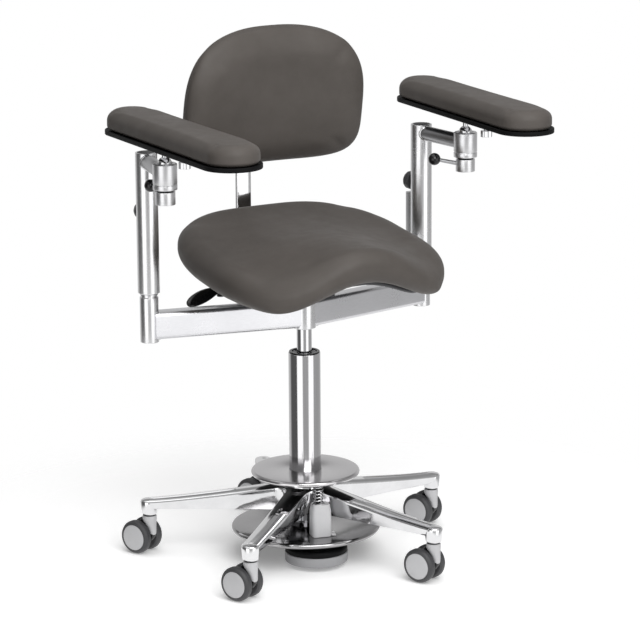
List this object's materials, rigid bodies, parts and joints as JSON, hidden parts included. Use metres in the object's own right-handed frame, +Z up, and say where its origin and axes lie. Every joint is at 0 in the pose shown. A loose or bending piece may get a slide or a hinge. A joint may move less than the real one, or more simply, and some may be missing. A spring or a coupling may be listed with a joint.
{
  "type": "surgeon chair",
  "caption": "Surgeon's chair with a saddle seat, low backrest and two ball-clamped arm pads on a gas-lift column and star caster base, with foot discs for height and brake.",
  "frame": {"origin": "floor under the middle of the whole chair; the column stands a little behind it", "axes": "+Z up, the chair faces -Y, the sitter's left is +X"},
  "size_m": [0.7481, 0.7429, 0.9955],
  "materials": {
    "polished_aluminium": "polished cast aluminium",
    "satin_steel": "satin steel with a vertical grain",
    "stainless_sheet": "polished stainless sheet",
    "grey_cast": "grey lacquer on cast metal",
    "black_plastic": "black, half gloss",
    "dark_plastic": "dark grey, matt",
    "light_grey_plastic": "light grey, satin",
    "grey_tyre": "dark grey soft tread",
    "grey_rubber": "mid grey, matt",
    "taupe_leatherette": "smooth taupe-grey leatherette"
  },
  "bodies": {
    "base": {"star_base": "polished_aluminium", "column_tube": "satin_steel", "column_collar": "black_plastic", "brake_sleeve": "dark_plastic"},
    "lift": {"gas_cylinder": "polished_aluminium"},
    "height_pedal": {"upper_disc": "stainless_sheet", "guide_rod": "satin_steel"},
    "brake_pedal": {"lower_disc": "stainless_sheet", "spring_block": "grey_cast", "release_spring": "satin_steel", "shoe_bracket": "grey_cast", "brake_plate": "black_plastic", "brake_shoe": "grey_rubber"},
    "seat_frame": {"arm_frame": "satin_steel", "seat_carrier": "black_plastic", "back_bar": "polished_aluminium", "seat_pivot_pin": "satin_steel"},
    "seat": {"seat_pan": "black_plastic", "seat_cushion": "taupe_leatherette"},
    "seat_lever": {"seat_lever": "black_plastic"},
    "tilt_lever": {"tilt_lever": "black_plastic"},
    "back_slider": {"back_slider": "black_plastic"},
    "back_knob": {"back_knob": "black_plastic"},
    "backrest": {"backrest_shell": "black_plastic", "backrest_cushion": "taupe_leatherette"},
    "arm_height_right": {"arm_bush_right": "black_plastic"},
    "arm_right": {"arm_sleeve_right": "satin_steel"},
    "lock_knob_right": {"lock_knob_right": "dark_plastic"},
    "clamp_right": {"clamp_nut_right": "satin_steel", "lever_ball_right": "black_plastic"},
    "ball_right": {"ball_stud_right": "satin_steel"},
    "rail_right": {"pad_rail_right": "satin_steel"},
    "thumbscrew_right": {"thumbscrew_right": "polished_aluminium"},
    "pad_right": {"pad_plate_right": "black_plastic", "arm_pad_right": "taupe_leatherette"},
    "arm_height_left": {"arm_bush_left": "black_plastic"},
    "arm_left": {"arm_sleeve_left": "satin_steel"},
    "lock_knob_left": {"lock_knob_left": "dark_plastic"},
    "clamp_left": {"clamp_nut_left": "satin_steel", "lever_ball_left": "black_plastic"},
    "ball_left": {"ball_stud_left": "satin_steel"},
    "rail_left": {"pad_rail_left": "satin_steel"},
    "thumbscrew_left": {"thumbscrew_left": "polished_aluminium"},
    "pad_left": {"pad_plate_left": "black_plastic", "arm_pad_left": "taupe_leatherette"},
    "fork_1": {"fork_1": "light_grey_plastic"},
    "wheel_1_left": {"wheel_1_left": "grey_tyre"},
    "wheel_1_right": {"wheel_1_right": "grey_tyre"},
    "fork_2": {"fork_2": "light_grey_plastic"},
    "wheel_2_left": {"wheel_2_left": "grey_tyre"},
    "wheel_2_right": {"wheel_2_right": "grey_tyre"},
    "fork_3": {"fork_3": "light_grey_plastic"},
    "wheel_3_left": {"wheel_3_left": "grey_tyre"},
    "wheel_3_right": {"wheel_3_right": "grey_tyre"},
    "fork_4": {"fork_4": "light_grey_plastic"},
    "wheel_4_left": {"wheel_4_left": "grey_tyre"},
    "wheel_4_right": {"wheel_4_right": "grey_tyre"},
    "fork_5": {"fork_5": "light_grey_plastic"},
    "wheel_5_left": {"wheel_5_left": "grey_tyre"},
    "wheel_5_right": {"wheel_5_right": "grey_tyre"}
  },
  "joints": [
    {"name": "seat_height", "type": "slide", "parent": "base", "child": "lift", "axis": [0, 0, 1], "range_m": [-0.03, 0.12]},
    {"name": "seat_swivel", "type": "hinge", "parent": "lift", "child": "seat_frame", "pos_m": [0, 0.0245, 0], "axis": [0, 0, 1], "continuous": true},
    {"name": "height_pedal_press", "type": "slide", "parent": "base", "child": "height_pedal", "axis": [0, 0, 1], "range_m": [-0.008, 0], "stiffness_N_per_m": 4000, "springref_m": 0.008, "deforming": ["release_spring"]},
    {"name": "brake_pedal_press", "type": "slide", "parent": "base", "child": "brake_pedal", "axis": [0, 0, 1], "range_m": [-0.0083, 0]},
    {"name": "seat_tilt", "type": "hinge", "parent": "seat_frame", "child": "seat", "pos_m": [0, 0.0395, 0.5207], "axis": [1, 0, 0], "range_deg": [-5, 5]},
    {"name": "seat_lever_lift", "type": "hinge", "parent": "seat_frame", "child": "seat_lever", "pos_m": [-0.0603, 0.1225, 0.5122], "axis": [0, 1, 0], "range_deg": [0, 6], "stiffness_Nm_per_rad": 0.6, "springref_deg": -5.73},
    {"name": "tilt_lever_lift", "type": "hinge", "parent": "seat_frame", "child": "tilt_lever", "pos_m": [-0.0603, 0.0905, 0.5122], "axis": [0, 1, 0], "range_deg": [0, 6], "stiffness_Nm_per_rad": 0.4, "springref_deg": -5.73},
    {"name": "back_height", "type": "slide", "parent": "seat_frame", "child": "back_slider", "axis": [0, 0, 1], "range_m": [-0.05, 0.02]},
    {"name": "back_knob_turn", "type": "hinge", "parent": "back_slider", "child": "back_knob", "pos_m": [0, 0.2773, 0.864], "axis": [0, 1, 0], "continuous": true},
    {"name": "back_tilt", "type": "hinge", "parent": "back_slider", "child": "backrest", "pos_m": [0, 0.2325, 0.864], "axis": [1, 0, 0], "range_deg": [-8, 8]},
    {"name": "arm_height_right", "type": "slide", "parent": "seat_frame", "child": "arm_height_right", "axis": [0, 0, 1], "range_m": [0, 0.1]},
    {"name": "arm_swivel_right", "type": "hinge", "parent": "arm_height_right", "child": "arm_right", "pos_m": [-0.2917, 0.0845, 0], "axis": [0, 0, -1], "range_deg": [-25, 40]},
    {"name": "lock_knob_turn_right", "type": "hinge", "parent": "arm_right", "child": "lock_knob_right", "pos_m": [-0.2873, 0.10452, 0.6781], "axis": [0.2147, 0.9767, 0], "continuous": true},
    {"name": "clamp_turn_right", "type": "hinge", "parent": "arm_right", "child": "clamp_right", "pos_m": [-0.32176, -0.05223, 0.73355], "axis": [0, 0, 1], "range_deg": [0, 35]},
    {"name": "pad_pitch_right", "type": "hinge", "parent": "arm_right", "child": "ball_right", "pos_m": [-0.32176, -0.05223, 0.7949], "axis": [0.9998, -0.0192, 0], "range_deg": [-10, 15]},
    {"name": "pad_turn_right", "type": "hinge", "parent": "ball_right", "child": "rail_right", "pos_m": [-0.32176, -0.05223, 0.7949], "axis": [0, 0, 1], "range_deg": [-12, 35]},
    {"name": "thumbscrew_turn_right", "type": "hinge", "parent": "rail_right", "child": "thumbscrew_right", "pos_m": [-0.32334, -0.13422, 0.8304], "axis": [0, 0, 1], "continuous": true},
    {"name": "pad_slide_right", "type": "slide", "parent": "rail_right", "child": "pad_right", "axis": [-0.0192, -0.9998, 0], "range_m": [-0.03, 0.05]},
    {"name": "arm_height_left", "type": "slide", "parent": "seat_frame", "child": "arm_height_left", "axis": [0, 0, 1], "range_m": [0, 0.1]},
    {"name": "arm_swivel_left", "type": "hinge", "parent": "arm_height_left", "child": "arm_left", "pos_m": [0.2917, 0.0845, 0], "axis": [0, 0, 1], "range_deg": [-25, 40]},
    {"name": "lock_knob_turn_left", "type": "hinge", "parent": "arm_left", "child": "lock_knob_left", "pos_m": [0.28991, 0.10492, 0.6781], "axis": [-0.0872, 0.9962, 0], "continuous": true},
    {"name": "clamp_turn_left", "type": "hinge", "parent": "arm_left", "child": "clamp_left", "pos_m": [0.3039, -0.05497, 0.73355], "axis": [0, 0, 1], "range_deg": [0, 35]},
    {"name": "pad_pitch_left", "type": "hinge", "parent": "arm_left", "child": "ball_left", "pos_m": [0.3039, -0.05497, 0.7949], "axis": [0.9976, -0.0698, 0], "range_deg": [-10, 15]},
    {"name": "pad_turn_left", "type": "hinge", "parent": "ball_left", "child": "rail_left", "pos_m": [0.3039, -0.05497, 0.7949], "axis": [0, 0, -1], "range_deg": [-12, 35]},
    {"name": "thumbscrew_turn_left", "type": "hinge", "parent": "rail_left", "child": "thumbscrew_left", "pos_m": [0.29818, -0.13677, 0.8304], "axis": [0, 0, 1], "continuous": true},
    {"name": "pad_slide_left", "type": "slide", "parent": "rail_left", "child": "pad_left", "axis": [-0.0698, -0.9976, 0], "range_m": [-0.03, 0.05]},
    {"name": "caster_swivel_1", "type": "hinge", "parent": "base", "child": "fork_1", "pos_m": [0.11795, -0.24807, 0], "axis": [0, 0, 1], "continuous": true},
    {"name": "wheel_spin_1_left", "type": "hinge", "parent": "fork_1", "child": "wheel_1_left", "pos_m": [0.10192, -0.23343, 0.03201], "axis": [-0.9085, -0.4179, 0], "continuous": true},
    {"name": "wheel_spin_1_right", "type": "hinge", "parent": "fork_1", "child": "wheel_1_right", "pos_m": [0.11727, -0.22637, 0.03201], "axis": [0.9085, 0.4179, 0], "continuous": true},
    {"name": "caster_swivel_2", "type": "hinge", "parent": "base", "child": "fork_2", "pos_m": [0.29568, 0.05245, 0], "axis": [0, 0, 1], "continuous": true},
    {"name": "wheel_spin_2_left", "type": "hinge", "parent": "fork_2", "child": "wheel_2_left", "pos_m": [0.27965, 0.06709, 0.03201], "axis": [-0.9085, -0.4179, 0], "continuous": true},
    {"name": "wheel_spin_2_right", "type": "hinge", "parent": "fork_2", "child": "wheel_2_right", "pos_m": [0.295, 0.07415, 0.03201], "axis": [0.9085, 0.4179, 0], "continuous": true},
    {"name": "caster_swivel_3", "type": "hinge", "parent": "base", "child": "fork_3", "pos_m": [0.06479, 0.31435, 0], "axis": [0, 0, 1], "continuous": true},
    {"name": "wheel_spin_3_left", "type": "hinge", "parent": "fork_3", "child": "wheel_3_left", "pos_m": [0.04875, 0.32899, 0.03201], "axis": [-0.9085, -0.4179, 0], "continuous": true},
    {"name": "wheel_spin_3_right", "type": "hinge", "parent": "fork_3", "child": "wheel_3_right", "pos_m": [0.06411, 0.33605, 0.03201], "axis": [0.9085, 0.4179, 0], "continuous": true},
    {"name": "caster_swivel_4", "type": "hinge", "parent": "base", "child": "fork_4", "pos_m": [-0.25564, 0.17569, 0], "axis": [0, 0, 1], "continuous": true},
    {"name": "wheel_spin_4_left", "type": "hinge", "parent": "fork_4", "child": "wheel_4_left", "pos_m": [-0.27167, 0.19032, 0.03201], "axis": [-0.9085, -0.4179, 0], "continuous": true},
    {"name": "wheel_spin_4_right", "type": "hinge", "parent": "fork_4", "child": "wheel_4_right", "pos_m": [-0.25632, 0.19739, 0.03201], "axis": [0.9085, 0.4179, 0], "continuous": true},
    {"name": "caster_swivel_5", "type": "hinge", "parent": "base", "child": "fork_5", "pos_m": [-0.22278, -0.17191, 0], "axis": [0, 0, 1], "continuous": true},
    {"name": "wheel_spin_5_left", "type": "hinge", "parent": "fork_5", "child": "wheel_5_left", "pos_m": [-0.23882, -0.15727, 0.03201], "axis": [-0.9085, -0.4179, 0], "continuous": true},
    {"name": "wheel_spin_5_right", "type": "hinge", "parent": "fork_5", "child": "wheel_5_right", "pos_m": [-0.22346, -0.15021, 0.03201], "axis": [0.9085, 0.4179, 0], "continuous": true}
  ]
}
